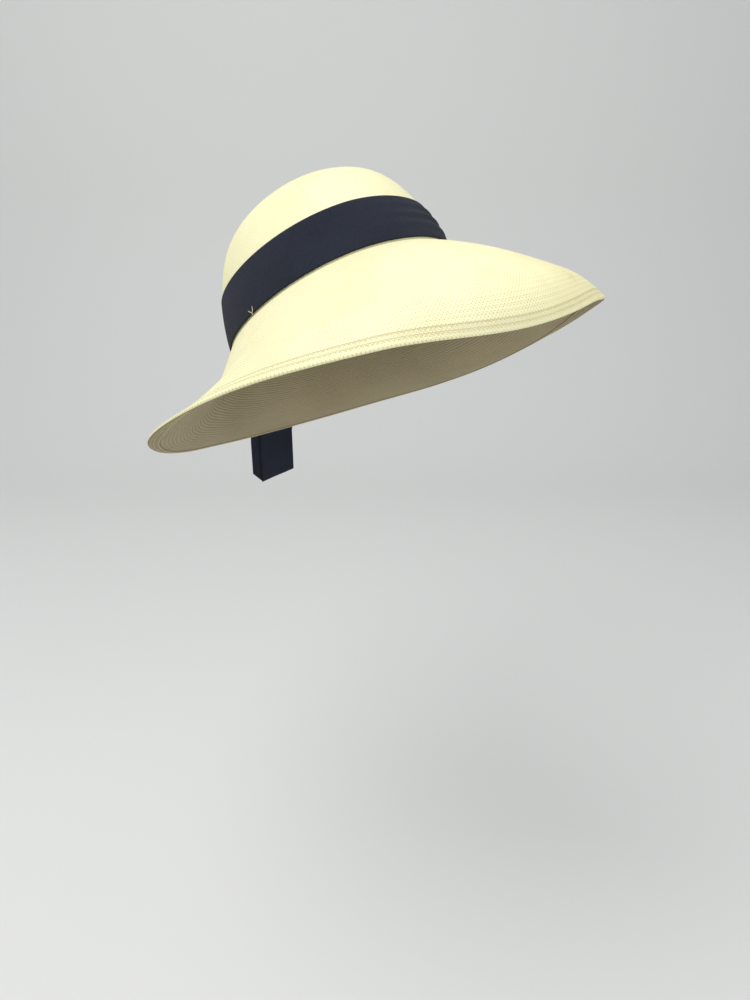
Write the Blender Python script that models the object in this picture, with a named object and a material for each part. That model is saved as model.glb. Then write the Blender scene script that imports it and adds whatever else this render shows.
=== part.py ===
"""A wide straw hat: crown and brim in one, a ribbon round the crown, a flat knot and two tails behind.

Frame: metres, +Z up. The wearer faces -Y and the wearer's left is +X.
The origin is the middle of the head opening, at the foot of the crown.
The hat is tipped back as it is worn, so its opening isn't level and its tails hang straight down.
"Hat frame" below means the hat before it is tipped, with the crown's axis along Z.
Azimuths are degrees from the front, towards the wearer's right side.
"""

import math
from collections import namedtuple

import bmesh
import bpy
from mathutils import Matrix, Vector

# Straw, in metres and degrees
HEAD_LENGTH = 0.207
HEAD_WIDTH = 0.178
CROWN_HEIGHT = 0.087
CROWN_LEAN = 0.004
FOOT_DIP = 0.008
DIP_START = 20.0
DIP_END = 122.0
BRIM_WIDTH = 0.150
CURL_START = 0.75
BRIM_TURN = 7.0
STRAW_WALL = 0.0016
HEM_WIDTH = 0.007
HEM_WALL = 0.0024
HEM_STEP = 0.0008
WORN_TILT = 31.3

# The crown's radius at a height is (1 - height ** CROWN_ROUND) ** CROWN_FLAT, all as shares.
CROWN_ROUND = 1.37
CROWN_FLAT = 0.197

# Ribbon
RIBBON_WIDTH = 0.037
RIBBON_WALL = 0.0010
RIBBON_GAP = 0.0004
BAND_FOOT = 0.0012
FOLD_RISE = 0.0014
FOLD_SAG = 0.0030
FOLD_MIDDLE = -28.0
FOLD_REACH = 52.0

# Flat knot and tails at the back
KNOT_WIDTH = 0.040
KNOT_PUFF = 0.0030
TAIL_GATHER = 0.022
TAIL_DROP = 0.045
TAIL_TURN = 0.012
TAIL_PLACE = 0.0120
TAIL_SPREAD = 0.010

# How finely curves are followed
COLUMNS = 72
WALK_STEPS = 24
SOLVE_STEPS = 4
SLOPE_STEP = 0.01
CROWN_RADIUS_SHARES = (0.84, 0.76, 0.66, 0.54, 0.38, 0.20)
CROWN_FOOT_SHARES = (0.0, 0.14, 0.29, 0.45)
BRIM_SHARES = (0.03, 0.11, 0.21, 0.32, 0.43, 0.54, 0.65, 0.75, 0.84, 0.90)

# The brim's sections from its deepest part to the back, the same on both sides.
# Width is a share of BRIM_WIDTH. Falls are degrees below level, in the hat frame.
# Curl is how many degrees more the brim has turned down at its very edge.
BrimSection = namedtuple("BrimSection", "azimuth width root_fall middle_fall edge_fall curl")
BRIM_SECTIONS = (
    BrimSection(0, 0.95, 28, 42, 72, 56),
    BrimSection(30, 0.84, 36.5, 38.5, 46, 40),
    BrimSection(60, 0.81, 39.5, 35, 22, 16),
    BrimSection(90, 0.80, 45, 43, -9, -9),
    BrimSection(120, 0.64, 58, 50, -10, -4),
    BrimSection(150, 0.59, 62, 42, -8, -3),
    BrimSection(180, 0.60, 64, 35, -8, -1),
)

# Lengthwise folds of the band at the front left, from its foot to its top.
# Height is a share of RIBBON_WIDTH, rise a share of FOLD_RISE.
BandRow = namedtuple("BandRow", "height rise")
BAND_ROWS = (
    BandRow(0.00, 0.0),
    BandRow(0.16, 0.2),
    BandRow(0.32, 0.9),
    BandRow(0.44, 0.1),
    BandRow(0.56, 1.0),
    BandRow(0.68, 0.1),
    BandRow(0.80, 0.7),
    BandRow(0.90, 0.1),
    BandRow(1.00, 0.0),
)

# The knot across its width. Place is a share of half of KNOT_WIDTH, lift of the tails' height.
KnotColumn = namedtuple("KnotColumn", "place lift")
KNOT_COLUMNS = (
    KnotColumn(-1.00, 0.0),
    KnotColumn(-0.86, 0.3),
    KnotColumn(-0.72, 1.0),
    KnotColumn(-0.36, 1.0),
    KnotColumn(0.00, 1.0),
    KnotColumn(0.36, 1.0),
    KnotColumn(0.72, 1.0),
    KnotColumn(0.86, 0.3),
    KnotColumn(1.00, 0.0),
)
KNOT_HEIGHT_SHARES = (0.24, 0.36, 0.50, 0.66, 0.82, 0.94)

# Where each tail is sampled on its way down: on the band, then on the brim, then over its edge.
TAIL_BAND_SHARES = (0.80, 0.50, 0.20)
TAIL_BRIM_SHARES = (0.09, 0.20, 0.33, 0.47, 0.61, 0.75, 0.88, 0.99)
TAIL_TURN_SHARES = (0.25, 0.60, 1.00)
TAIL_HANG_SHARES = (0.33, 0.66, 1.00)

# The tails' cut ends. Across is from -0.5 to 0.5 of the ribbon's width, towards the wearer's left.
# Left and right are each tail's hanging length there, as a share of TAIL_DROP.
TailColumn = namedtuple("TailColumn", "across left right")
TAIL_COLUMNS = (
    TailColumn(-0.50, 1.00, 0.76),
    TailColumn(-0.20, 0.97, 1.00),
    TailColumn(0.00, 0.95, 0.97),
    TailColumn(0.25, 0.93, 0.95),
    TailColumn(0.50, 0.90, 0.92),
)

STRAW_COLOUR = (0.93, 0.87, 0.58, 1.0)
STRAW_ROUGHNESS = 0.75
RIBBON_COLOUR = (0.018, 0.021, 0.036, 1.0)
RIBBON_ROUGHNESS = 0.85

UP = Vector((0.0, 0.0, 1.0))
BACK = Vector((0.0, 1.0, 0.0))


def material(name, colour, roughness):
    made = bpy.data.materials.new(name)
    made.use_nodes = True
    shader = made.node_tree.nodes["Principled BSDF"]
    shader.inputs["Base Color"].default_value = colour
    shader.inputs["Roughness"].default_value = roughness
    shader.inputs["Metallic"].default_value = 0.0
    made.diffuse_color = colour
    return made


def worn(vector):
    """A vector of the hat frame in the world, with the front tipped up."""
    return Matrix.Rotation(math.radians(-WORN_TILT), 3, "X") @ vector


def smooth_between(before, start, end, after, share):
    """The smooth curve from start to end that heads on to the values beside them."""
    slope_in = (end - before) / 2
    slope_out = (after - start) / 2
    rise = end - start
    return (
        start
        + slope_in * share
        + (3 * rise - 2 * slope_in - slope_out) * share**2
        + (slope_in + slope_out - 2 * rise) * share**3
    )


def brim_section(azimuth):
    """The brim's section at any azimuth, between the rows of the table."""
    around = abs((azimuth - BRIM_TURN + 180) % 360 - 180)
    spacing = BRIM_SECTIONS[1].azimuth
    last = len(BRIM_SECTIONS) - 1
    index = min(int(around / spacing), last - 1)
    rows = (
        BRIM_SECTIONS[abs(index - 1)],
        BRIM_SECTIONS[index],
        BRIM_SECTIONS[index + 1],
        BRIM_SECTIONS[min(index + 2, 2 * last - index - 2)],
    )
    return BrimSection(*(smooth_between(*values, around / spacing - index) for values in zip(*rows)))


def fall_at(section, share):
    """Degrees below level, at a share of the way from the root to the edge."""
    return (
        section.root_fall * (1 - share) * (1 - 2 * share)
        + section.middle_fall * 4 * share * (1 - share)
        + section.edge_fall * share * (2 * share - 1)
        + section.curl * max(share - CURL_START, 0.0) / (1 - CURL_START)
    )


def foot_dip(azimuth):
    """How far the crown's foot has sunk there. It runs level at the front and lower round the back."""
    around = abs((azimuth + 180) % 360 - 180)
    share = min(max((around - DIP_START) / (DIP_END - DIP_START), 0.0), 1.0)
    return FOOT_DIP * share**2 * (3 - 2 * share)


def head_oval(azimuth):
    """A point of the crown's foot and the level direction out of it."""
    angle = math.radians(azimuth)
    x = -HEAD_WIDTH / 2 * math.sin(angle)
    y = -HEAD_LENGTH / 2 * math.cos(angle)
    outward = Vector((x / HEAD_WIDTH**2, y / HEAD_LENGTH**2, 0.0)).normalized()
    return Vector((x, y, -foot_dip(azimuth))), outward


def brim_top(azimuth, share):
    """The brim's upper surface at a share of its width from the crown."""
    foot, outward = head_oval(azimuth)
    section = brim_section(azimuth)
    step = share * section.width * BRIM_WIDTH / WALK_STEPS
    point = foot
    for index in range(WALK_STEPS):
        fall = math.radians(fall_at(section, (index + 0.5) * share / WALK_STEPS))
        point = point + (outward * math.cos(fall) - UP * math.sin(fall)) * step
    return point


def crown_side(azimuth, share):
    """The crown's outer surface at a share of its height."""
    foot, _ = head_oval(azimuth)
    radius = (1 - share**CROWN_ROUND) ** CROWN_FLAT
    lean = Vector((0.0, CROWN_LEAN, CROWN_HEIGHT))
    return foot * radius + lean * share


def share_at_radius(radius):
    """The share of the crown's height where it has narrowed to that share of its foot."""
    return (1 - radius ** (1 / CROWN_FLAT)) ** (1 / CROWN_ROUND)


def facing(surface, azimuth, share, downhill):
    """The outward normal. Downhill is 1 where the share grows on the way down and -1 where upwards."""
    low = max(share - SLOPE_STEP, 0.0)
    down = (surface(azimuth, share + SLOPE_STEP) - surface(azimuth, low)) * downhill
    across = surface(azimuth + 1, share) - surface(azimuth - 1, share)
    return across.cross(down).normalized()


def azimuth_at(surface, share, x):
    """The azimuth near the back where that ring of the surface reaches x."""
    azimuth = 180.0
    for _ in range(SOLVE_STEPS):
        per_degree = (surface(azimuth + 1, share).x - surface(azimuth - 1, share).x) / 2
        azimuth += (x - surface(azimuth, share).x) / per_degree
    return azimuth


def ring_azimuths():
    return [360 * column / COLUMNS for column in range(COLUMNS)]


def ring_normals(rings):
    """Outward normals of rings that run down from the crown's top, which is a ring of one point."""
    normals = [[UP]]
    for index in range(1, len(rings)):
        above = rings[index - 1] if index > 1 else rings[0] * COLUMNS
        ring = rings[index]
        below = rings[min(index + 1, len(rings) - 1)]
        found = []
        for column in range(COLUMNS):
            across = ring[(column + 1) % COLUMNS] - ring[column - 1]
            found.append(across.cross(below[column] - above[column]).normalized())
        normals.append(found)
    return normals


def loops_object(name, loops, made_material, capped=False, closed=False):
    """A solid through loops of points. A loop of one point is a pole.

    Capped loops run along the top and back along the underside, and the first and last are filled.
    Closed loops join the last to the first.
    """
    shape = bmesh.new()
    made = [[shape.verts.new(point) for point in loop] for loop in loops]
    pairs = list(zip(made, made[1:]))
    if closed:
        pairs.append((made[-1], made[0]))
    for first, second in pairs:
        count = max(len(first), len(second))
        for column in range(count):
            beside = (column + 1) % count
            corners = [
                first[column % len(first)],
                second[column % len(second)],
                second[beside % len(second)],
                first[beside % len(first)],
            ]
            shape.faces.new(list(dict.fromkeys(corners)))
    if capped:
        for loop in (made[0], made[-1]):
            for column in range(len(loop) // 2 - 1):
                shape.faces.new((loop[column], loop[column + 1], loop[-2 - column], loop[-1 - column]))
    bmesh.ops.recalc_face_normals(shape, faces=shape.faces)
    if shape.calc_volume(signed=True) < 0:
        bmesh.ops.reverse_faces(shape, faces=shape.faces)
    for face in shape.faces:
        face.smooth = True
    mesh = bpy.data.meshes.new(name)
    shape.to_mesh(mesh)
    shape.free()
    mesh.materials.append(made_material)
    bpy.context.scene.collection.objects.link(bpy.data.objects.new(name, mesh))


def straw_hat(made_material):
    shares = sorted([share_at_radius(radius) for radius in CROWN_RADIUS_SHARES], reverse=True)
    shares += sorted(CROWN_FOOT_SHARES, reverse=True)
    top = [[crown_side(0.0, 1.0)]]
    top += [[crown_side(azimuth, share) for azimuth in ring_azimuths()] for share in shares]
    top += [[brim_top(azimuth, share) for azimuth in ring_azimuths()] for share in BRIM_SHARES]
    walls = [STRAW_WALL] * len(top)
    hem = (
        (HEM_WIDTH + HEM_STEP, STRAW_WALL),
        (HEM_WIDTH, HEM_WALL),
        (HEM_WIDTH / 2, HEM_WALL),
        (0.0, HEM_WALL),
    )
    for inset, wall in hem:
        ring = []
        for azimuth in ring_azimuths():
            width = brim_section(azimuth).width * BRIM_WIDTH
            ring.append(brim_top(azimuth, 1 - inset / width))
        top.append(ring)
        walls.append(wall)
    under = []
    for ring, normals, wall in zip(top, ring_normals(top), walls):
        under.append([point - normal * wall for point, normal in zip(ring, normals)])
    fold = []
    for edge, inner, beneath in zip(top[-1], top[-2], under[-1]):
        fold.append((edge + beneath) / 2 + (edge - inner).normalized() * HEM_WALL / 3)
    loops = [[worn(point) for point in ring] for ring in top + [fold] + under[::-1]]
    loops_object("straw_hat", loops, made_material)


def band_share(azimuth, height):
    """The share of the crown's height at a share of the ribbon's width. Folds draw its top down."""
    width = RIBBON_WIDTH - FOLD_SAG * fold_strength(azimuth)
    return (BAND_FOOT + width * height) / CROWN_HEIGHT


def fold_strength(azimuth):
    """1 in the middle of the folds, 0 beyond their reach."""
    away = abs((azimuth - FOLD_MIDDLE + 180) % 360 - 180) / FOLD_REACH
    return math.cos(math.pi / 2 * min(away, 1.0)) ** 2


def hat_band(made_material):
    outside = []
    inside = []
    for row in BAND_ROWS:
        outer = []
        inner = []
        for azimuth in ring_azimuths():
            share = band_share(azimuth, row.height)
            lift = RIBBON_GAP + row.rise * FOLD_RISE * fold_strength(azimuth)
            normal = facing(crown_side, azimuth, share, -1)
            inner.append(worn(crown_side(azimuth, share) + normal * lift))
            outer.append(worn(crown_side(azimuth, share) + normal * (lift + RIBBON_WALL)))
        outside.append(outer)
        inside.append(inner)
    loops_object("hat_band", outside + inside[::-1], made_material, closed=True)


def layer_height(layer):
    """How far above the surface under it a ribbon lies, with that many ribbons beneath."""
    return RIBBON_GAP + layer * (RIBBON_WALL + RIBBON_GAP)


def tail_line(side, layer, across, drop):
    """World points and normals down one lengthwise line of a tail."""
    line = []
    for height in TAIL_BAND_SHARES:
        x = TAIL_PLACE + across * TAIL_GATHER
        azimuth = azimuth_at(crown_side, band_share(180.0, height), x)
        share = band_share(azimuth, height)
        normal = facing(crown_side, azimuth, share, -1)
        point = crown_side(azimuth, share) + normal * (RIBBON_GAP + RIBBON_WALL)
        line.append((worn(point), worn(normal)))
    for share in TAIL_BRIM_SHARES:
        opened = min(share / TAIL_BRIM_SHARES[2], 1.0)
        width = TAIL_GATHER + (RIBBON_WIDTH - TAIL_GATHER) * opened
        x = TAIL_PLACE + side * TAIL_SPREAD / 2 * share + across * width
        azimuth = azimuth_at(brim_top, share, x)
        line.append((worn(brim_top(azimuth, share)), worn(facing(brim_top, azimuth, share, 1))))
    point = line[-1][0]
    heading = point - line[-2][0]
    slope = math.atan2(-heading.z, heading.y)
    done = 0.0
    for share in TAIL_TURN_SHARES:
        fall = slope + (math.pi / 2 - slope) * (share + done) / 2
        point = point + (BACK * math.cos(fall) - UP * math.sin(fall)) * TAIL_TURN * (share - done)
        fall = slope + (math.pi / 2 - slope) * share
        line.append((point, BACK * math.sin(fall) + UP * math.cos(fall)))
        done = share
    for share in TAIL_HANG_SHARES:
        line.append((point - UP * drop * TAIL_DROP * share, BACK))
    return [(point + normal * layer_height(layer), normal) for point, normal in line]


def ribbon_tail(name, side, layer, made_material):
    lines = []
    for column in TAIL_COLUMNS:
        drop = column.left if side > 0 else column.right
        lines.append(tail_line(side, layer, column.across, drop))
    loops = []
    for stations in zip(*lines):
        upper = [point + normal * RIBBON_WALL for point, normal in stations]
        loops.append(upper + [point for point, _ in reversed(stations)])
    loops_object(name, loops, made_material, capped=True)


def ribbon_knot(made_material):
    loops = []
    for height in KNOT_HEIGHT_SHARES:
        puff = KNOT_PUFF * math.sin(math.pi * height)
        outer = []
        inner = []
        for column in KNOT_COLUMNS:
            x = TAIL_PLACE + column.place * KNOT_WIDTH / 2
            azimuth = azimuth_at(crown_side, band_share(180.0, height), x)
            share = band_share(azimuth, height)
            normal = facing(crown_side, azimuth, share, -1)
            lift = 2 * RIBBON_GAP + RIBBON_WALL + column.lift * layer_height(2)
            inner.append(worn(crown_side(azimuth, share) + normal * lift))
            lift += RIBBON_WALL + puff * (1 - column.place**2)
            outer.append(worn(crown_side(azimuth, share) + normal * lift))
        loops.append(outer + inner[::-1])
    loops_object("ribbon_knot", loops, made_material, capped=True)


def main():
    for old in list(bpy.data.objects):
        bpy.data.objects.remove(old)
    straw_hat(material("straw", STRAW_COLOUR, STRAW_ROUGHNESS))
    hat_band(material("band_ribbon", RIBBON_COLOUR, RIBBON_ROUGHNESS))
    ribbon_knot(material("knot_ribbon", RIBBON_COLOUR, RIBBON_ROUGHNESS))
    ribbon_tail("tail_left", 1, 0, material("left_tail_ribbon", RIBBON_COLOUR, RIBBON_ROUGHNESS))
    ribbon_tail("tail_right", -1, 1, material("right_tail_ribbon", RIBBON_COLOUR, RIBBON_ROUGHNESS))


main()
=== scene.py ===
"""The straw hat's looks: woven straw, hem stitches, ribbed ribbon, soft light and the camera.

Metres, +Z up, the wearer faces -Y and the wearer's left is +X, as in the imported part.
"Hat frame" means the hat before it is tipped back, with the crown's axis along Z.
Azimuths are degrees from the front, towards the wearer's right side.
"""

from collections import namedtuple

import bpy
import numpy as np
from mathutils import Matrix


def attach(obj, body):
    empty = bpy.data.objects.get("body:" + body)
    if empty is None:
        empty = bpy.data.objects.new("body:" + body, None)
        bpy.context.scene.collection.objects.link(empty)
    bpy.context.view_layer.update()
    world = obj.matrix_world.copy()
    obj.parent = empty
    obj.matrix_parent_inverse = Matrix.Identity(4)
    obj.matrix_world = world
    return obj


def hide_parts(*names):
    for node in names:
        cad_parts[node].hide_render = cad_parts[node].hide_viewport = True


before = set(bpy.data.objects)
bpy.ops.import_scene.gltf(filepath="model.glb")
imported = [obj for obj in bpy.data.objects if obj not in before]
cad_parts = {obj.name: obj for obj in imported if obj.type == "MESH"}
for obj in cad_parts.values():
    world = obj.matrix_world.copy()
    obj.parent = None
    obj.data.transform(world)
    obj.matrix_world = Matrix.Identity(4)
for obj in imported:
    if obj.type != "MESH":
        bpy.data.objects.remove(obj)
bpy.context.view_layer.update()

# The hat's sizes, as built in the part
HEAD_LENGTH = 0.207
HEAD_WIDTH = 0.178
CROWN_HEIGHT = 0.087
CROWN_LEAN = 0.004
FOOT_DIP = 0.008
DIP_START = 20.0
DIP_END = 122.0
BRIM_WIDTH = 0.150
CURL_START = 0.75
BRIM_TURN = 7.0
STRAW_WALL = 0.0016
HEM_WIDTH = 0.007
HEM_WALL = 0.0024
HEM_STEP = 0.0008
WORN_TILT = 31.3
CROWN_ROUND = 1.37
CROWN_FLAT = 0.197
RIBBON_WIDTH = 0.037
RIBBON_WALL = 0.0010
RIBBON_GAP = 0.0004
BAND_FOOT = 0.0012
FOLD_RISE = 0.0014
FOLD_SAG = 0.0030
FOLD_MIDDLE = -28.0
FOLD_REACH = 52.0
KNOT_WIDTH = 0.040
KNOT_PUFF = 0.0030
TAIL_GATHER = 0.022
TAIL_DROP = 0.045
TAIL_TURN = 0.012
TAIL_PLACE = 0.0120
TAIL_SPREAD = 0.010

# The brim's sections from its deepest part to the back, the same on both sides.
# Width is a share of BRIM_WIDTH. Falls are degrees below level, in the hat frame.
# Curl is how many degrees more the brim has turned down at its very edge.
BrimSection = namedtuple("BrimSection", "azimuth width root_fall middle_fall edge_fall curl")
BRIM_SECTIONS = (
    BrimSection(0, 0.95, 28, 42, 72, 56),
    BrimSection(30, 0.84, 36.5, 38.5, 46, 40),
    BrimSection(60, 0.81, 39.5, 35, 22, 16),
    BrimSection(90, 0.80, 45, 43, -9, -9),
    BrimSection(120, 0.64, 58, 50, -10, -4),
    BrimSection(150, 0.59, 62, 42, -8, -3),
    BrimSection(180, 0.60, 64, 35, -8, -1),
)

# Lengthwise folds of the band at the front left. Height is a share of RIBBON_WIDTH, rise of FOLD_RISE.
BandRow = namedtuple("BandRow", "height rise")
BAND_ROWS = (
    BandRow(0.00, 0.0),
    BandRow(0.16, 0.2),
    BandRow(0.32, 0.9),
    BandRow(0.44, 0.1),
    BandRow(0.56, 1.0),
    BandRow(0.68, 0.1),
    BandRow(0.80, 0.7),
    BandRow(0.90, 0.1),
    BandRow(1.00, 0.0),
)

# The knot across its width: place is a share of half of KNOT_WIDTH, lift a share of the tails' height.
KnotColumn = namedtuple("KnotColumn", "place lift")
KNOT_COLUMNS = (
    KnotColumn(-1.00, 0.0),
    KnotColumn(-0.86, 0.3),
    KnotColumn(-0.72, 1.0),
    KnotColumn(0.72, 1.0),
    KnotColumn(0.86, 0.3),
    KnotColumn(1.00, 0.0),
)
KNOT_LOW = 0.24
KNOT_HIGH = 0.94

# Where each tail is sampled on its way down, and its cut end as shares of TAIL_DROP.
# Opened is the share of the brim's width where a tail has come to its full width.
TAIL_BAND_SHARES = (0.80, 0.50, 0.20)
TAIL_BRIM_SHARES = (0.09, 0.20, 0.33, 0.47, 0.61, 0.75, 0.88, 0.99)
TAIL_OPENED = 0.33
TAIL_TURN_SHARES = (0.25, 0.60, 1.00)
TAIL_HANG_SHARES = (0.33, 0.66, 1.00)
TailColumn = namedtuple("TailColumn", "across left right")
TAIL_COLUMNS = (
    TailColumn(-0.50, 1.00, 0.76),
    TailColumn(-0.20, 0.97, 1.00),
    TailColumn(0.00, 0.95, 0.97),
    TailColumn(0.25, 0.93, 0.95),
    TailColumn(0.50, 0.90, 0.92),
)

# How finely the shown meshes follow the curves
STRAW_COLUMNS = 240
CROWN_TOP_ROWS = 26
CROWN_SIDE_ROWS = 22
CROWN_SHOULDER = 0.84
TOP_OPENING = 0.004
BRIM_ROWS = 62
HEM_ROWS = 7
FOLD_ROWS = 4
BAND_COLUMNS = 300
BAND_FINE = 34
TAIL_FINE = 5
TAIL_ACROSS = 12
KNOT_FINE = 30
WALK_STEPS = 24
SOLVE_STEPS = 4
SLOPE_STEP = 0.01

# The weave, in metres, and how many strands cross it all the way round
STRANDS_ROUND = 470
STRAND_PITCH = 0.0026
RIDGE_PITCH = 0.0030
RIDGE_REACH = 0.070
MEAN_BRIM = 0.125
RIB_PITCH = 0.0010
THREAD_PITCH = 0.0004

# Looks of the straw. Colours are linear, the rest are shares. The darkest of the colours is painted shade,
# for the weave's gaps, the ridges' hollows and the hem's grooves.
StrawLook = namedtuple(
    "StrawLook", "roughness pale dark gap blotch fibre gap_low gap_high ridge edge_ridge hollow groove"
)
OUTER_STRAW = StrawLook(
    roughness=0.62,
    pale=(0.93, 0.895, 0.58, 1),
    dark=(0.85, 0.78, 0.43, 1),
    gap=(0.46, 0.35, 0.13, 1),
    blotch=0.35,
    fibre=0.40,
    gap_low=0.40,
    gap_high=0.90,
    ridge=0.08,
    edge_ridge=0.24,
    hollow=0.45,
    groove=0.35,
)
# The same straw on the inside of the hat, with its colours painted darker as the shade under the brim and
# inside the crown
SHADED_INNER_STRAW = StrawLook(
    roughness=0.70,
    pale=(0.40, 0.34, 0.21, 1),
    dark=(0.31, 0.255, 0.145, 1),
    gap=(0.17, 0.125, 0.06, 1),
    blotch=0.35,
    fibre=0.40,
    gap_low=0.10,
    gap_high=0.35,
    ridge=0.70,
    edge_ridge=0.70,
    hollow=0.45,
    groove=0.55,
)
STRAW_SHINE = 0.25
STRAND_RISE = 0.22
FIBRE_RISE = 0.10
GROOVE_DEPTH = 0.5
STRAW_BUMP = 0.0006

# Where the weave's gaps open between two strands, as shares of a strand's height
GAP_FULL = 0.20
GAP_NONE = 0.66

# Where the hem's grooves lie, how near the edge the ridges are strongest, and how far from
# the crown's top the gaps begin and are fully open, all in metres
GROOVE_SHIFT = 0.0006
GROOVE_FULL = 0.0002
GROOVE_NONE = 0.0007
RIDGE_FULL = 0.010
CLOSED_RADIUS = 0.006
OPENED_RADIUS = 0.034

# Noises in the looks, each spread over 0 to 1 between its low and its high
Noise = namedtuple("Noise", "scale detail low high")
STRAW_BLOTCH = Noise(14.0, 3.0, 0.35, 0.70)
STRAW_PATCH = Noise(55.0, 2.0, 0.25, 0.65)
STRAW_FIBRE = Noise(900.0, 2.0, 0.30, 0.75)
STAIN_SPECKLE = Noise(420.0, 3.0, 0.30, 0.70)
THREAD_TWIST = Noise(1500.0, 1.0, 0.30, 0.70)
RIBBON_FLUFF = Noise(700.0, 2.0, 0.30, 0.75)
RIBBON_SHADE = Noise(22.0, 2.0, 0.30, 0.75)

# A faint yellowish stain near the brim's edge, at the front left
STAIN_AZIMUTH = -11.0
STAIN_SHARE = 0.83
STAIN_RADIUS = 0.011
STAIN_STRENGTH = 0.80
STAIN_COLOUR = (0.72, 0.58, 0.26, 1)

# Looks of the ribbon and the thread. Tones and rises are shares.
NAVY_PALE = (0.022, 0.027, 0.043, 1)
NAVY_DARK = (0.010, 0.012, 0.022, 1)
RIBBON_ROUGHNESS = 0.80
RIBBON_SHEEN = 0.04
RIBBON_SHINE = 0.15
RIBBON_BUMP = 0.00022
# How much darker the ribs' hollows are painted, as their shade
RIB_HOLLOW_SHADE = 0.40
FLUFF_TONE = 0.30
SHADE_TONE = 0.30
CROSS_RISE = 0.2
FLUFF_RISE = 0.3
THREAD_PALE = (0.84, 0.77, 0.50, 1)
THREAD_DARK = (0.66, 0.57, 0.32, 1)
THREAD_ROUGHNESS = 0.7

# Stitches of the hem. Each has its full thickness out to the body's share of half its length.
# Its direction runs between two points of its row that lie a turn to either side, in degrees.
STITCH_INSETS = (0.0033, 0.0066)
STITCHES_ROUND = 380
STITCH_LENGTH = 0.0022
STITCH_RADIUS = 0.00022
STITCH_BODY = 0.6
STITCH_TURN = 0.2

# How far the hem's fold stands out past its two layers
HEM_ROLL = HEM_WALL / 3

UP = np.array([0.0, 0.0, 1.0])
BACK = np.array([0.0, 1.0, 0.0])


def unit(vectors):
    return vectors / np.linalg.norm(vectors, axis=-1, keepdims=True)


def worn(points):
    """Hat-frame points or directions in the world, with the front tipped up."""
    tilt = np.radians(WORN_TILT)
    x, y, z = points[..., 0], points[..., 1], points[..., 2]
    back = y * np.cos(tilt) + z * np.sin(tilt)
    up = z * np.cos(tilt) - y * np.sin(tilt)
    return np.stack([x, back, up], axis=-1)


def between(before, start, end, after, share):
    """A point on the smooth curve from start to end, whose slopes follow the points on either side."""
    slope_in = (end - before) / 2
    slope_out = (after - start) / 2
    rise = end - start
    square = (3 * rise - 2 * slope_in - slope_out) * share**2
    cube = (slope_in + slope_out - 2 * rise) * share**3
    return start + slope_in * share + square + cube


def lengths_along(line):
    """How far along a line of points each one lies."""
    return np.concatenate([[0.0], np.cumsum(np.linalg.norm(np.diff(line, axis=0), axis=1))])


def brim_section(azimuth):
    """The brim's section at each azimuth, between the rows of the table, as one array for each column."""
    table = np.array(BRIM_SECTIONS, float)
    around = np.abs((azimuth - BRIM_TURN + 180) % 360 - 180)
    place = around / BRIM_SECTIONS[1].azimuth
    last = len(BRIM_SECTIONS) - 1
    index = np.minimum(place.astype(int), last - 1)
    share = (place - index)[..., None]
    before = table[np.abs(index - 1)]
    after = table[np.minimum(index + 2, 2 * last - index - 2)]
    curve = between(before, table[index], table[index + 1], after, share)
    return BrimSection(*np.moveaxis(curve, -1, 0))


def fall_at(section, share):
    """Degrees below level, at a share of the way from the root to the edge."""
    return (
        section.root_fall * (1 - share) * (1 - 2 * share)
        + section.middle_fall * 4 * share * (1 - share)
        + section.edge_fall * share * (2 * share - 1)
        + section.curl * np.maximum(share - CURL_START, 0.0) / (1 - CURL_START)
    )


def foot_dip(azimuth):
    """How far the crown's foot has sunk there. It runs level at the front and lower round the back."""
    around = np.abs((azimuth + 180) % 360 - 180)
    share = np.clip((around - DIP_START) / (DIP_END - DIP_START), 0.0, 1.0)
    return FOOT_DIP * share**2 * (3 - 2 * share)


def head_oval(azimuth):
    """Points of the crown's foot and the level directions out of it."""
    angle = np.radians(azimuth)
    x = -HEAD_WIDTH / 2 * np.sin(angle)
    y = -HEAD_LENGTH / 2 * np.cos(angle)
    outward = np.stack([x / HEAD_WIDTH**2, y / HEAD_LENGTH**2, np.zeros_like(x)], -1)
    return np.stack([x, y, -foot_dip(azimuth)], -1), unit(outward)


def brim_top(azimuth, share):
    """The brim's upper surface at shares of its width from the crown."""
    azimuth, share = np.broadcast_arrays(np.asarray(azimuth, float), np.asarray(share, float))
    point, outward = head_oval(azimuth)
    section = brim_section(azimuth)
    step = (share * section.width * BRIM_WIDTH / WALK_STEPS)[..., None]
    for index in range(WALK_STEPS):
        fall = np.radians(fall_at(section, (index + 0.5) * share / WALK_STEPS))[..., None]
        point = point + (outward * np.cos(fall) - UP * np.sin(fall)) * step
    return point


def crown_side(azimuth, share):
    """The crown's outer surface at shares of its height."""
    azimuth, share = np.broadcast_arrays(np.asarray(azimuth, float), np.asarray(share, float))
    foot, _ = head_oval(azimuth)
    radius = (1 - np.minimum(share, 1.0) ** CROWN_ROUND) ** CROWN_FLAT
    lean = np.array([0.0, CROWN_LEAN, CROWN_HEIGHT])
    return foot * radius[..., None] + lean * share[..., None]


def share_at_radius(radius):
    """The share of the crown's height where it has narrowed to that share of its foot."""
    return (1 - radius ** (1 / CROWN_FLAT)) ** (1 / CROWN_ROUND)


def facing(surface, azimuth, share, downhill):
    """Outward normals. Downhill is 1 where the share grows downwards and -1 where it grows upwards."""
    low = np.maximum(share - SLOPE_STEP, 0.0)
    down = (surface(azimuth, share + SLOPE_STEP) - surface(azimuth, low)) * downhill
    across = surface(azimuth + 1, share) - surface(azimuth - 1, share)
    return unit(np.cross(across, down))


def azimuth_at(surface, share, x):
    """The azimuths near the back where that ring of the surface reaches x."""
    azimuth = np.full(np.shape(x), 180.0)
    for _ in range(SOLVE_STEPS):
        per_degree = (surface(azimuth + 1, share)[..., 0] - surface(azimuth - 1, share)[..., 0]) / 2
        azimuth = azimuth + (x - surface(azimuth, share)[..., 0]) / per_degree
    return azimuth


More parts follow.
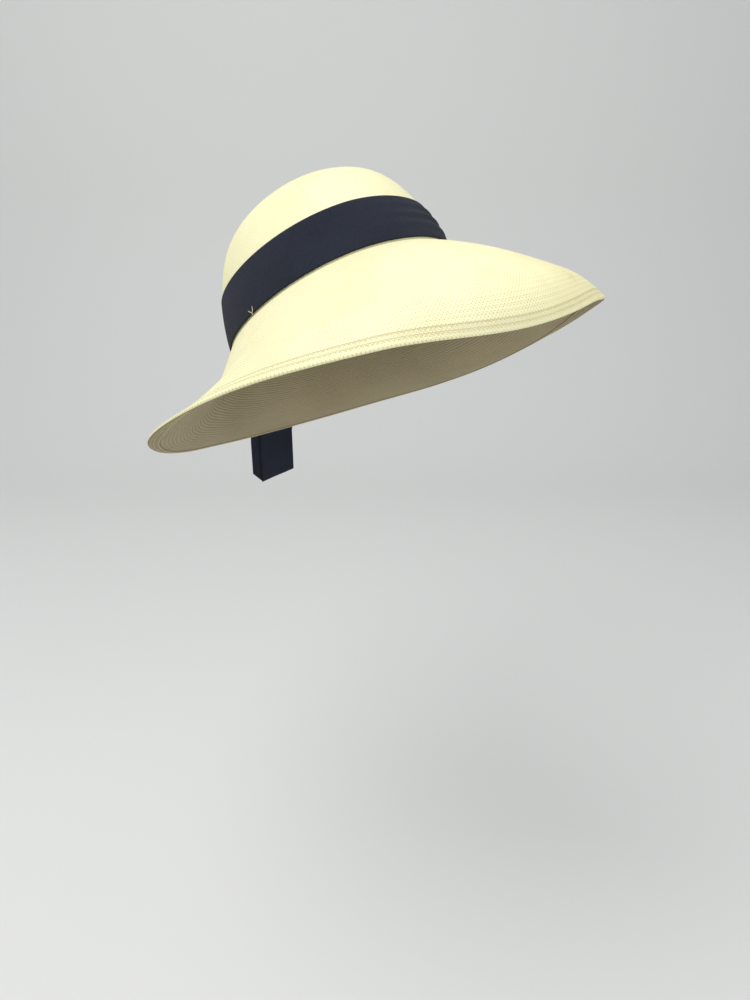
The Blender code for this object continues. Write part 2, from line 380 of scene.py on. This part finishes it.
def smooth_rows(rows, times):
    """Rows of points with that many steps from each to the next, on a smooth curve through them all."""
    rows = np.asarray(rows, float)
    padded = np.concatenate([2 * rows[:1] - rows[1:2], rows, 2 * rows[-1:] - rows[-2:-1]])
    made = []
    for index in range(1, len(padded) - 2):
        before, start, end, after = padded[index - 1 : index + 3]
        for step in range(times):
            made.append(between(before, start, end, after, step / times))
    made.append(rows[-1])
    return np.array(made)


def shown(mesh):
    """An object of the mesh's name that shows the mesh."""
    made = bpy.data.objects.new(mesh.name, mesh)
    bpy.context.scene.collection.objects.link(made)
    return made


def grid_object(
    name, points, uv, extra=None, round_columns=False, round_rows=False, ends=False, falls=False
):
    """A mesh through a grid of points.

    Round joins the last column or row to the first, and ends fills in the first and last row.
    Falls says that the rows run down, so the faces are turned to look outwards.
    """
    rows, columns = points.shape[:2]
    row = np.arange(rows if round_rows else rows - 1)
    column = np.arange(columns if round_columns else columns - 1)
    row, column = np.meshgrid(row, column, indexing="ij")
    corner_rows = np.stack([row, row + 1, row + 1, row], -1).reshape(-1, 4)
    corner_columns = np.stack([column, column, column + 1, column + 1], -1).reshape(-1, 4)
    faces = ((corner_rows % rows) * columns + corner_columns % columns).tolist()
    corner_uv = uv[corner_rows, corner_columns].reshape(-1, 2)
    if ends:
        loop = np.arange(columns)
        faces += [loop.tolist(), (loop[::-1] + (rows - 1) * columns).tolist()]
        corner_uv = np.concatenate([corner_uv, uv[0, :columns], uv[-1, :columns][::-1]])
    mesh = bpy.data.meshes.new(name)
    mesh.from_pydata(points.reshape(-1, 3).tolist(), [], faces)
    layer = mesh.uv_layers.new(name="weave")
    layer.data.foreach_set("uv", corner_uv.astype(np.float32).ravel())
    if extra is not None:
        for label, values in extra.items():
            made = mesh.attributes.new(label, "FLOAT", "POINT")
            made.data.foreach_set("value", values.astype(np.float32).ravel())
    if falls:
        mesh.flip_normals()
    mesh.polygons.foreach_set("use_smooth", [True] * len(mesh.polygons))
    return shown(mesh)


def normals_of(points):
    """Outward normals of rows that run down from the crown's top, each all the way round."""
    across = np.roll(points, -1, axis=1) - np.roll(points, 1, axis=1)
    down = np.empty_like(points)
    down[1:-1] = points[2:] - points[:-2]
    down[0] = points[1] - points[0]
    down[-1] = points[-1] - points[-2]
    return unit(np.cross(across, down))


def straw_rows():
    """The hat's outer surface, its wall, its distance down from the crown's foot and in from the edge."""
    azimuth = np.arange(STRAW_COLUMNS) * 360 / STRAW_COLUMNS
    shoulder = share_at_radius(CROWN_SHOULDER)
    shares = [share_at_radius(r) for r in np.linspace(TOP_OPENING, CROWN_SHOULDER, CROWN_TOP_ROWS)]
    shares += list(np.linspace(shoulder, 0.0, CROWN_SIDE_ROWS + 1)[1:])
    rows = [crown_side(azimuth, share) for share in shares]
    along = list(-lengths_along([row[0] for row in rows[::-1]])[::-1])
    width = brim_section(azimuth).width * BRIM_WIDTH
    inner = 1 - (HEM_WIDTH + HEM_STEP) / width
    insets = [np.full(STRAW_COLUMNS, BRIM_WIDTH)] * len(rows)
    walls = [STRAW_WALL] * len(rows)
    for step in range(1, BRIM_ROWS + 1):
        share = inner * step / BRIM_ROWS
        rows.append(brim_top(azimuth, share))
        along.append(share.mean() * MEAN_BRIM)
        insets.append((1 - share) * width)
        walls.append(STRAW_WALL)
    for step in range(HEM_ROWS):
        inset = HEM_WIDTH * (1 - step / (HEM_ROWS - 1))
        share = 1 - inset / width
        rows.append(brim_top(azimuth, share))
        along.append(share.mean() * MEAN_BRIM)
        insets.append(np.full(STRAW_COLUMNS, inset))
        walls.append(HEM_WALL)
    return np.array(rows), np.array(walls), np.array(along), np.array(insets)


def straw_object():
    top, walls, along, insets = straw_rows()
    normals = normals_of(top)
    under = top - normals * walls[:, None, None]
    outward = unit(top[-1] - top[-2])
    middle = (top[-1] + under[-1]) / 2
    fold = []
    for step in range(1, FOLD_ROWS + 1):
        angle = np.pi * step / (FOLD_ROWS + 1)
        out = outward * np.sin(angle) * HEM_ROLL
        fold.append(middle + normals[-1] * np.cos(angle) * HEM_WALL / 2 + out)
    points = worn(np.concatenate([top, fold, under[::-1]]))
    down = np.concatenate([along, np.full(FOLD_ROWS, along[-1]), along[::-1]])
    inset = np.concatenate([insets, np.zeros((FOLD_ROWS, STRAW_COLUMNS)), insets[::-1]])
    round_share = np.arange(STRAW_COLUMNS + 1) / STRAW_COLUMNS
    uv = np.stack(np.broadcast_arrays(round_share * STRANDS_ROUND, down[:, None]), -1)
    extra = {"inset": inset}
    made = grid_object("woven_straw", points, uv, extra, round_columns=True, ends=True, falls=True)
    made.data.materials.append(straw_material("outer_straw", OUTER_STRAW, along[0]))
    made.data.materials.append(straw_material("shaded_inner_straw", SHADED_INNER_STRAW, along[0]))
    quads = (len(points) - 1) * STRAW_COLUMNS
    outer_quads = (len(top) + FOLD_ROWS // 2) * STRAW_COLUMNS
    # The inside's faces take the darker copy, which paints the shade on the underside and inside the crown
    slots = np.zeros(len(made.data.polygons), np.int32)
    slots[outer_quads:quads] = 1
    slots[-1] = 1
    made.data.polygons.foreach_set("material_index", slots)
    return made


def hem_stitches():
    """Two rows of stitches along the hem, above and below, as one mesh."""
    azimuth = (np.arange(STITCHES_ROUND) + 0.5) * 360 / STITCHES_ROUND
    width = brim_section(azimuth).width * BRIM_WIDTH
    ring = np.array([[1, 1, 0], [1, 0, 1], [1, -1, 0], [1, 0, -1]]) * [STITCH_BODY, 1, 1]
    template = np.concatenate([[[-1.0, 0, 0]], ring * [-1, 1, 1], ring, [[1.0, 0, 0]]])
    template = template * [STITCH_LENGTH / 2, STITCH_RADIUS, STITCH_RADIUS]
    sides = len(ring)
    near, far, tip = 1, 1 + sides, 1 + 2 * sides
    shape = []
    for side in range(sides):
        beside = (side + 1) % sides
        shape.append((0, near + beside, near + side))
        shape.append((near + side, near + beside, far + beside, far + side))
        shape.append((tip, far + side, far + beside))
    points, faces = [], []
    for inset in STITCH_INSETS:
        share = 1 - inset / width
        surface = brim_top(azimuth, share)
        normal = facing(brim_top, azimuth, share - SLOPE_STEP, 1)
        along = unit(brim_top(azimuth + STITCH_TURN, share) - brim_top(azimuth - STITCH_TURN, share))
        across = np.cross(normal, along)
        axes = (along, across, normal)
        for lift in (0.0, -HEM_WALL):
            middle = surface + normal * lift
            made = middle[:, None] + sum(
                axis[:, None] * template[:, place, None] for place, axis in enumerate(axes)
            )
            start = sum(len(part) for part in points)
            points.append(worn(made).reshape(-1, 3))
            for stitch in range(STITCHES_ROUND):
                first = start + stitch * len(template)
                faces += [tuple(first + corner for corner in face) for face in shape]
    mesh = bpy.data.meshes.new("hem_stitches")
    mesh.from_pydata(np.concatenate(points).tolist(), [], faces)
    mesh.polygons.foreach_set("use_smooth", [True] * len(mesh.polygons))
    mesh.materials.append(thread_material("straw_thread"))
    return shown(mesh)


def fold_strength(azimuth):
    """1 in the middle of the band's folds, 0 beyond their reach."""
    away = np.abs((azimuth - FOLD_MIDDLE + 180) % 360 - 180) / FOLD_REACH
    return np.cos(np.pi / 2 * np.minimum(away, 1.0)) ** 2


def band_share(azimuth, height):
    """Shares of the crown's height at shares of the ribbon's width. The folds draw its top down."""
    width = RIBBON_WIDTH - FOLD_SAG * fold_strength(azimuth)
    return (BAND_FOOT + width * height) / CROWN_HEIGHT


def fold_rise(height):
    """How far the folds stand out at shares of the ribbon's width, smooth between the table's rows."""
    heights = np.array([row.height for row in BAND_ROWS])
    rises = np.array([row.rise for row in BAND_ROWS])
    index = np.clip(np.searchsorted(heights, height, side="right") - 1, 0, len(heights) - 2)
    share = (height - heights[index]) / (heights[index + 1] - heights[index])
    share = share * share * (3 - 2 * share)
    return rises[index] + (rises[index + 1] - rises[index]) * share


def ribbon_band():
    azimuth = np.arange(BAND_COLUMNS) * 360 / BAND_COLUMNS
    height = np.linspace(0.0, 1.0, BAND_FINE)[:, None]
    share = band_share(azimuth, height)
    normal = facing(crown_side, azimuth, share, -1)
    lift = RIBBON_GAP + fold_rise(height) * FOLD_RISE * fold_strength(azimuth)
    inner = crown_side(azimuth, share) + normal * lift[..., None]
    points = worn(np.concatenate([inner + normal * RIBBON_WALL, inner[::-1]]))
    foot = crown_side(np.arange(BAND_COLUMNS + 1) * 360 / BAND_COLUMNS, np.zeros(BAND_COLUMNS + 1))
    round_length = lengths_along(foot)
    whole_ribs = round(round_length[-1] / RIB_PITCH) * RIB_PITCH
    across = np.concatenate([height, height[::-1], height[:1]]) * RIBBON_WIDTH
    uv = np.stack(np.broadcast_arrays(round_length * whole_ribs / round_length[-1], across), -1)
    made = grid_object("ribbon_band", points, uv, round_columns=True, round_rows=True)
    return made


def layer_height(layer):
    """How far above the surface under it a ribbon lies, with that many ribbons beneath."""
    return RIBBON_GAP + layer * (RIBBON_WALL + RIBBON_GAP)


def tail_lines(side, across, drop):
    """World points and normals down a tail's lengthwise lines, without its height above what it lies on."""
    points, normals = [], []
    for height in TAIL_BAND_SHARES:
        x = TAIL_PLACE + across * TAIL_GATHER
        azimuth = azimuth_at(crown_side, band_share(180.0, height), x)
        share = band_share(azimuth, height)
        normal = facing(crown_side, azimuth, share, -1)
        points.append(worn(crown_side(azimuth, share) + normal * (RIBBON_GAP + RIBBON_WALL)))
        normals.append(worn(normal))
    for share in TAIL_BRIM_SHARES:
        opened = min(share / TAIL_OPENED, 1.0)
        width = TAIL_GATHER + (RIBBON_WIDTH - TAIL_GATHER) * opened
        x = TAIL_PLACE + side * TAIL_SPREAD / 2 * share + across * width
        azimuth = azimuth_at(brim_top, share, x)
        points.append(worn(brim_top(azimuth, share)))
        normals.append(worn(facing(brim_top, azimuth, share, 1)))
    point = points[-1]
    heading = point - points[-2]
    slope = np.arctan2(-heading[:, 2], heading[:, 1])[:, None]
    done = 0.0
    for share in TAIL_TURN_SHARES:
        fall = slope + (np.pi / 2 - slope) * (share + done) / 2
        point = point + (BACK * np.cos(fall) - UP * np.sin(fall)) * TAIL_TURN * (share - done)
        fall = slope + (np.pi / 2 - slope) * share
        points.append(point)
        normals.append(BACK * np.sin(fall) + UP * np.cos(fall))
        done = share
    for share in TAIL_HANG_SHARES:
        points.append(point - UP * (drop * TAIL_DROP * share)[:, None])
        normals.append(np.broadcast_to(BACK, point.shape))
    return np.array(points), np.array(normals)


def ribbon_tail(name, side, layer):
    across = np.linspace(TAIL_COLUMNS[0].across, TAIL_COLUMNS[-1].across, TAIL_ACROSS)
    drops = [column.left if side > 0 else column.right for column in TAIL_COLUMNS]
    drop = np.interp(across, [column.across for column in TAIL_COLUMNS], drops)
    points, normals = tail_lines(side, across, drop)
    points = smooth_rows(points, TAIL_FINE)
    normals = unit(smooth_rows(normals, TAIL_FINE))
    under = points + normals * layer_height(layer)
    upper = under + normals * RIBBON_WALL
    grid = np.concatenate([upper, under[:, ::-1]], axis=1)
    down = lengths_along(points[:, TAIL_ACROSS // 2])
    place = np.concatenate([across, across[::-1], across[:1]]) * RIBBON_WIDTH
    uv = np.stack(np.broadcast_arrays(down[:, None], place), -1)
    made = grid_object(name, grid, uv, round_columns=True, ends=True, falls=True)
    return made


def knot_ribbon():
    place = np.linspace(-1.0, 1.0, KNOT_FINE)
    table = np.array(KNOT_COLUMNS)
    lifts = np.interp(place, table[:, 0], table[:, 1])
    outer, inner = [], []
    for height in np.linspace(KNOT_LOW, KNOT_HIGH, KNOT_FINE):
        azimuth = azimuth_at(crown_side, band_share(180.0, height), TAIL_PLACE + place * KNOT_WIDTH / 2)
        share = band_share(azimuth, height)
        normal = facing(crown_side, azimuth, share, -1)
        lift = (2 * RIBBON_GAP + RIBBON_WALL + lifts * layer_height(2))[:, None]
        puff = (KNOT_PUFF * np.sin(np.pi * height) * (1 - place**2))[:, None]
        inner.append(crown_side(azimuth, share) + normal * lift)
        outer.append(inner[-1] + normal * (RIBBON_WALL + puff))
    grid = worn(np.concatenate([np.array(outer), np.array(inner)[:, ::-1]], axis=1))
    height = np.linspace(KNOT_LOW, KNOT_HIGH, KNOT_FINE)[:, None] * RIBBON_WIDTH
    across = np.concatenate([place, place[::-1], place[:1]]) * KNOT_WIDTH / 2
    uv = np.stack(np.broadcast_arrays(across, height), -1)
    made = grid_object("knot_ribbon", grid, uv, round_columns=True, ends=True)
    return made


def math_node(tree, operation, *values):
    """A math node's output. Each value is a number or another node's output."""
    made = tree.nodes.new("ShaderNodeMath")
    made.operation = operation
    for place, value in enumerate(values):
        if isinstance(value, (int, float)):
            made.inputs[place].default_value = value
        else:
            tree.links.new(value, made.inputs[place])
    return made.outputs[0]


def waves(tree, value, pitch):
    """Waves between 0 and 1 that come round once for each pitch."""
    sine = math_node(tree, "SINE", math_node(tree, "MULTIPLY", value, 2 * np.pi / pitch))
    return blend(tree, sine, 0.5, 1.0)


def mix_colour(tree, share, first, second):
    made = tree.nodes.new("ShaderNodeMix")
    made.data_type = "RGBA"
    tree.links.new(share, made.inputs["Factor"])
    for socket, value in ((made.inputs[6], first), (made.inputs[7], second)):
        if isinstance(value, tuple):
            socket.default_value = value
        else:
            tree.links.new(value, socket)
    return made.outputs[2]


def noise(tree, kind):
    """That kind of noise, in the object's own space."""
    place = tree.nodes.new("ShaderNodeTexCoord")
    made = tree.nodes.new("ShaderNodeTexNoise")
    made.inputs["Scale"].default_value = kind.scale
    made.inputs["Detail"].default_value = kind.detail
    tree.links.new(place.outputs["Object"], made.inputs["Vector"])
    return spread(tree, made.outputs["Fac"], kind.low, kind.high)


def spread(tree, value, low, high):
    """0 where the value is low, 1 where it is high, smooth between."""
    made = tree.nodes.new("ShaderNodeMapRange")
    made.interpolation_type = "SMOOTHSTEP"
    tree.links.new(value, made.inputs["Value"])
    made.inputs["From Min"].default_value = low
    made.inputs["From Max"].default_value = high
    return made.outputs["Result"]


def falling(tree, value, low, high):
    """1 where the value is low, 0 where it is high, smooth between."""
    return math_node(tree, "SUBTRACT", 1.0, spread(tree, value, low, high))


def blend(tree, share, at_none, at_full):
    """A number that runs from one value to the other as the share runs from 0 to 1."""
    return math_node(tree, "MULTIPLY_ADD", share, at_full - at_none, at_none)


def strand(tree, place):
    """1 on the middle of each strand, 0 where it meets the next."""
    return math_node(tree, "ABSOLUTE", math_node(tree, "SINE", math_node(tree, "MULTIPLY", place, np.pi)))


def stain_share(tree):
    """How much of the faint stain shows there. It is a small soft spot."""
    place = tree.nodes.new("ShaderNodeTexCoord")
    away = tree.nodes.new("ShaderNodeVectorMath")
    away.operation = "DISTANCE"
    tree.links.new(place.outputs["Object"], away.inputs[0])
    away.inputs[1].default_value = worn(brim_top(STAIN_AZIMUTH, STAIN_SHARE)).tolist()
    speckle = math_node(tree, "MULTIPLY", noise(tree, STAIN_SPECKLE), STAIN_STRENGTH)
    spot = falling(tree, away.outputs["Value"], low=0.0, high=STAIN_RADIUS)
    return math_node(tree, "MULTIPLY", spot, speckle)


def weave_place(tree):
    made = tree.nodes.new("ShaderNodeUVMap")
    made.uv_map = "weave"
    split = tree.nodes.new("ShaderNodeSeparateXYZ")
    tree.links.new(made.outputs["UV"], split.inputs["Vector"])
    return split.outputs["X"], split.outputs["Y"]


def new_material(name, roughness, shine=STRAW_SHINE):
    made = bpy.data.materials.new(name)
    made.use_nodes = True
    shader = made.node_tree.nodes["Principled BSDF"]
    shader.inputs["Roughness"].default_value = roughness
    shader.inputs["Specular IOR Level"].default_value = shine
    return made, made.node_tree, shader


def bump(tree, height, distance, shader):
    made = tree.nodes.new("ShaderNodeBump")
    made.inputs["Distance"].default_value = distance
    tree.links.new(height, made.inputs["Height"])
    tree.links.new(made.outputs["Normal"], shader.inputs["Normal"])


def straw_material(name, look, top):
    """Fine woven straw: strands that cross on the slant, gaps in rows, ridges and the hem's grooves, with
    painted shade in the gaps, the ridges' hollows and the grooves.

    Top is the distance down at the crown's very top, where the strands lie too close to be seen.
    """
    made, tree, shader = new_material(name, look.roughness)
    around, down = weave_place(tree)
    opened = spread(tree, down, low=top + CLOSED_RADIUS, high=top + OPENED_RADIUS)
    row = math_node(tree, "MULTIPLY", down, 1 / STRAND_PITCH)
    one = strand(tree, math_node(tree, "ADD", around, row))
    other = strand(tree, math_node(tree, "SUBTRACT", around, row))
    strands = math_node(tree, "MULTIPLY", math_node(tree, "MULTIPLY", one, other), opened)
    blotch = noise(tree, STRAW_BLOTCH)
    patch = noise(tree, STRAW_PATCH)
    fibre = noise(tree, STRAW_FIBRE)
    # Painted shade in the gaps between the strands, where the weave opens
    gap_shade = falling(tree, math_node(tree, "MAXIMUM", one, other), low=GAP_FULL, high=GAP_NONE)
    gap_shade = math_node(tree, "MULTIPLY", gap_shade, blend(tree, patch, look.gap_low, look.gap_high))
    gap_shade = math_node(tree, "MULTIPLY", gap_shade, opened)
    inset = tree.nodes.new("ShaderNodeAttribute")
    inset.attribute_name = "inset"
    inset = inset.outputs["Fac"]
    near_edge = falling(tree, inset, low=RIDGE_FULL, high=RIDGE_REACH)
    ridge_height = blend(tree, near_edge, look.ridge, look.edge_ridge)
    ridge = waves(tree, down, RIDGE_PITCH)
    # The hollows between the ridges are sunk by the bump and darkened with painted shade
    hollow = math_node(tree, "MULTIPLY", ridge_height, math_node(tree, "SUBTRACT", 1.0, ridge))
    # The hem's grooves along the stitches are sunk by the bump and darkened with painted shade
    shaded_grooves = None
    for place in STITCH_INSETS:
        away = math_node(tree, "ABSOLUTE", math_node(tree, "SUBTRACT", inset, place + GROOVE_SHIFT))
        groove = falling(tree, away, low=GROOVE_FULL, high=GROOVE_NONE)
        shaded_grooves = groove if shaded_grooves is None else math_node(tree, "MAXIMUM", shaded_grooves, groove)
    tone = math_node(tree, "MULTIPLY", fibre, look.fibre)
    tone = math_node(tree, "MULTIPLY_ADD", blotch, look.blotch, tone)
    colour = mix_colour(tree, tone, look.pale, look.dark)
    # Painted shade: the ridges' hollows, the weave's gaps and the hem's grooves turn towards the darkest
    # colour
    colour = mix_colour(tree, math_node(tree, "MULTIPLY", hollow, look.hollow), colour, look.gap)
    colour = mix_colour(tree, gap_shade, colour, look.gap)
    colour = mix_colour(tree, math_node(tree, "MULTIPLY", shaded_grooves, look.groove), colour, look.gap)
    colour = mix_colour(tree, stain_share(tree), colour, STAIN_COLOUR)
    tree.links.new(colour, shader.inputs["Base Color"])
    height = math_node(tree, "MULTIPLY", strands, STRAND_RISE)
    height = math_node(tree, "MULTIPLY_ADD", hollow, -1.0, height)
    height = math_node(tree, "MULTIPLY_ADD", fibre, FIBRE_RISE, height)
    height = math_node(tree, "MULTIPLY_ADD", shaded_grooves, -GROOVE_DEPTH, height)
    bump(tree, height, STRAW_BUMP, shader)
    return made


def thread_material(name):
    """A pale thread or straw with small changes of tone along it."""
    made, tree, shader = new_material(name, THREAD_ROUGHNESS)
    twist = noise(tree, THREAD_TWIST)
    tree.links.new(mix_colour(tree, twist, THREAD_PALE, THREAD_DARK), shader.inputs["Base Color"])
    return made


def ribbon_material(name):
    """Ribbed ribbon: fine ribs across its length with painted shade in their hollows, slight changes of
    tone and a little sheen.
    """
    made, tree, shader = new_material(name, RIBBON_ROUGHNESS, RIBBON_SHINE)
    along, across = weave_place(tree)
    ribs = waves(tree, along, RIB_PITCH)
    threads = waves(tree, across, THREAD_PITCH)
    fluff = noise(tree, RIBBON_FLUFF)
    shade = noise(tree, RIBBON_SHADE)
    tone = math_node(tree, "MULTIPLY", fluff, FLUFF_TONE)
    # The ribs' hollows are painted darker as their shade, besides the ribbon's random tone
    tone = math_node(tree, "MULTIPLY_ADD", ribs, RIB_HOLLOW_SHADE, tone)
    tone = math_node(tree, "MULTIPLY_ADD", shade, SHADE_TONE, tone)
    tree.links.new(mix_colour(tree, tone, NAVY_DARK, NAVY_PALE), shader.inputs["Base Color"])
    shader.inputs["Sheen Weight"].default_value = RIBBON_SHEEN
    height = math_node(tree, "MULTIPLY_ADD", threads, CROSS_RISE, ribs)
    height = math_node(tree, "MULTIPLY_ADD", fluff, FLUFF_RISE, height)
    bump(tree, height, RIBBON_BUMP, shader)
    return made


# The stray straw at the band's foot: azimuth, height as a share of the ribbon's width
StrayPoint = namedtuple("StrayPoint", "azimuth height")
STRAY_BRANCHES = (
    (StrayPoint(82.0, 0.12), StrayPoint(82.6, 0.04), StrayPoint(83.4, 0.015)),
    (StrayPoint(85.2, 0.10), StrayPoint(84.2, 0.05), StrayPoint(83.4, 0.015)),
    (StrayPoint(83.4, 0.015), StrayPoint(83.2, -0.03)),
)
STRAY_RADIUS = 0.00022
STRAY_SIDES = 6
STRAY_FINE = 4


def stray_straw():
    """One loose straw that stands from under the ribbon, as joined thin tubes."""
    points, faces = [], []
    for branch in STRAY_BRANCHES:
        azimuth = np.array([point.azimuth for point in branch])
        share = band_share(azimuth, np.array([point.height for point in branch]))
        share = np.maximum(share, 0.0)
        normal = facing(crown_side, azimuth, share, -1)
        line = crown_side(azimuth, share) + normal * (RIBBON_GAP + RIBBON_WALL + STRAY_RADIUS)
        line = smooth_rows(line, STRAY_FINE)
        heading = unit(np.gradient(line, axis=0))
        side = unit(np.cross(heading, normal.mean(axis=0)))
        out = np.cross(side, heading)
        start = sum(len(part) for part in points)
        angles = np.arange(STRAY_SIDES) * 2 * np.pi / STRAY_SIDES
        ring = side[:, None] * np.cos(angles)[:, None] + out[:, None] * np.sin(angles)[:, None]
        points.append(worn(line[:, None] + ring * STRAY_RADIUS).reshape(-1, 3))
        for step in range(len(line) - 1):
            for place in range(STRAY_SIDES):
                beside = (place + 1) % STRAY_SIDES
                first = start + step * STRAY_SIDES
                second = first + STRAY_SIDES
                faces.append((first + place, second + place, second + beside, first + beside))
        loop = np.arange(STRAY_SIDES) + start
        faces += [loop.tolist(), (loop[::-1] + (len(line) - 1) * STRAY_SIDES).tolist()]
    mesh = bpy.data.meshes.new("stray_straw")
    mesh.from_pydata(np.concatenate(points).tolist(), [], faces)
    mesh.materials.append(thread_material("stray_fibre"))
    return shown(mesh)


# The camera, from where the hat's origin lies in the picture, in pixels
CAMERA_AZIMUTH = -41.7
CAMERA_PITCH = 22.6
CAMERA_DISTANCE = 0.6077
FOCAL_PIXELS = 751.0
PICTURE_WIDTH = 750
PICTURE_HEIGHT = 1000
ORIGIN_ACROSS = 338.0
ORIGIN_DOWN = 303.8
SENSOR = 36.0


def camera_axes():
    """The camera's right, up and forward directions."""
    azimuth, pitch = np.radians(CAMERA_AZIMUTH), np.radians(CAMERA_PITCH)
    right = np.array([np.cos(azimuth), np.sin(azimuth), 0.0])
    level = np.array([-np.sin(azimuth), np.cos(azimuth), 0.0])
    forward = level * np.cos(pitch) - UP * np.sin(pitch)
    return right, np.cross(right, forward), forward


def add_camera():
    right, up, forward = camera_axes()
    across = (ORIGIN_ACROSS - PICTURE_WIDTH / 2) / FOCAL_PIXELS * CAMERA_DISTANCE
    above = -(ORIGIN_DOWN - PICTURE_HEIGHT / 2) / FOCAL_PIXELS * CAMERA_DISTANCE
    data = bpy.data.cameras.new("camera")
    data.lens = SENSOR * FOCAL_PIXELS / PICTURE_HEIGHT
    data.sensor_width = SENSOR
    made = bpy.data.objects.new("camera", data)
    turn = np.eye(4)
    turn[:3, 0], turn[:3, 1], turn[:3, 2] = right, up, -forward
    turn[:3, 3] = -across * right - above * up - CAMERA_DISTANCE * forward
    made.matrix_world = Matrix(turn.tolist())
    bpy.context.scene.collection.objects.link(made)
    bpy.context.scene.camera = made


# A pale floor that curves up into a wall behind the hat, as seen by the camera
FLOOR_HEIGHT = -0.60
FLOOR_NEAR = 4.0
FLOOR_FAR = 1.1
WALL_CURVE = 0.7
WALL_HEIGHT = 3.0
CURVE_STEPS = 16
HALF_WIDTH = 5.0
PAPER_COLOUR = (0.72, 0.72, 0.70, 1)
PAPER_ROUGHNESS = 0.9


def add_backdrop():
    right, _, forward = camera_axes()
    level = unit(forward * [1, 1, 0])
    profile = [(-FLOOR_NEAR, 0.0)]
    for step in range(CURVE_STEPS + 1):
        angle = np.pi / 2 * step / CURVE_STEPS
        profile.append((FLOOR_FAR + WALL_CURVE * np.sin(angle), WALL_CURVE * (1 - np.cos(angle))))
    profile.append((FLOOR_FAR + WALL_CURVE, WALL_HEIGHT))
    rows = []
    for away, height in profile:
        middle = level * away + UP * (FLOOR_HEIGHT + height)
        rows.append([middle - right * HALF_WIDTH, middle + right * HALF_WIDTH])
    grid = np.array(rows)
    made = grid_object("backdrop", grid, np.zeros(grid.shape[:2] + (2,)))
    paper, _, shader = new_material("backdrop_paper", PAPER_ROUGHNESS)
    shader.inputs["Base Color"].default_value = PAPER_COLOUR
    made.data.materials.append(paper)


# Soft lights, placed by how far right, up and forward of the hat they are as the camera sees it
Lamp = namedtuple("Lamp", "name right up forward size watts")
LAMPS = (
    Lamp("window", -0.8, 1.2, -1.1, 2.2, 36.0),
    Lamp("fill", 1.2, 0.1, -1.2, 1.6, 13.0),
)
SKY_COLOUR = (0.86, 0.90, 0.95, 1.0)
SKY_STRENGTH = 0.45


def add_lights():
    right, up, forward = camera_axes()
    for lamp in LAMPS:
        data = bpy.data.lights.new(lamp.name, "AREA")
        data.shape = "DISK"
        data.size = lamp.size
        data.energy = lamp.watts
        made = bpy.data.objects.new(lamp.name, data)
        place = right * lamp.right + up * lamp.up + forward * lamp.forward
        back = unit(place)
        side = unit(np.cross(UP, back))
        turn = np.eye(4)
        turn[:3, 0], turn[:3, 1], turn[:3, 2], turn[:3, 3] = side, np.cross(back, side), back, place
        made.matrix_world = Matrix(turn.tolist())
        bpy.context.scene.collection.objects.link(made)
    world = bpy.data.worlds.new("sky")
    world.use_nodes = True
    sky = world.node_tree.nodes["Background"]
    sky.inputs["Color"].default_value = SKY_COLOUR
    sky.inputs["Strength"].default_value = SKY_STRENGTH
    bpy.context.scene.world = world
    bpy.context.scene.view_settings.view_transform = "Standard"


straw = straw_object()
stitches = hem_stitches()
band = ribbon_band()
tail_on_left = ribbon_tail("left_tail", 1, 0)
tail_on_right = ribbon_tail("right_tail", -1, 1)
knot = knot_ribbon()
stray = stray_straw()

for piece in (band, knot, tail_on_left, tail_on_right):
    piece.data.materials.append(ribbon_material(piece.name + "_weave"))

for piece, node, slot in (
    (straw, "straw_hat", "straw"),
    (band, "hat_band", "band_ribbon"),
    (knot, "ribbon_knot", "knot_ribbon"),
    (tail_on_left, "tail_left", "left_tail_ribbon"),
    (tail_on_right, "tail_right", "right_tail_ribbon"),
):
    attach(piece, "root")
    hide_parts(node)
for piece in (stitches, stray):
    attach(piece, "root")

add_camera()
add_backdrop()
add_lights()
